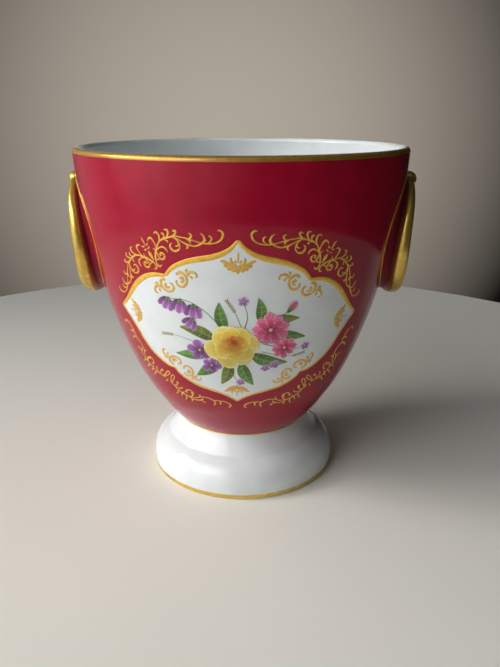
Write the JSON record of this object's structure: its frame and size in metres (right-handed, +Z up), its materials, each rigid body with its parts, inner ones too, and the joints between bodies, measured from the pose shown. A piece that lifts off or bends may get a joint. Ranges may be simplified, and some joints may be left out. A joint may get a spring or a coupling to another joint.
{
  "type": "flower pot",
  "caption": "Footed glazed porcelain cachepot: deep round bowl on a spreading hollow foot, with a moulded gilt ring handle on each side.",
  "frame": {"origin": "centre of the ring that the foot rests on, at the height of the surface it stands on", "axes": "+Z up along the axis of the pot, +X through the handle on the right, -Y towards the viewer and the painted panel"},
  "size_m": [0.1722, 0.16, 0.169],
  "materials": {
    "crimson_glaze": "gloss",
    "white_glaze": "gloss",
    "gilding": "gloss"
  },
  "bodies": {
    "root": {"bowl": "crimson_glaze", "foot": "white_glaze", "right_handle_ring": "gilding", "right_handle_web": "crimson_glaze", "right_handle_knob": "gilding", "left_handle_ring": "gilding", "left_handle_web": "crimson_glaze", "left_handle_knob": "gilding"}
  },
  "joints": []
}
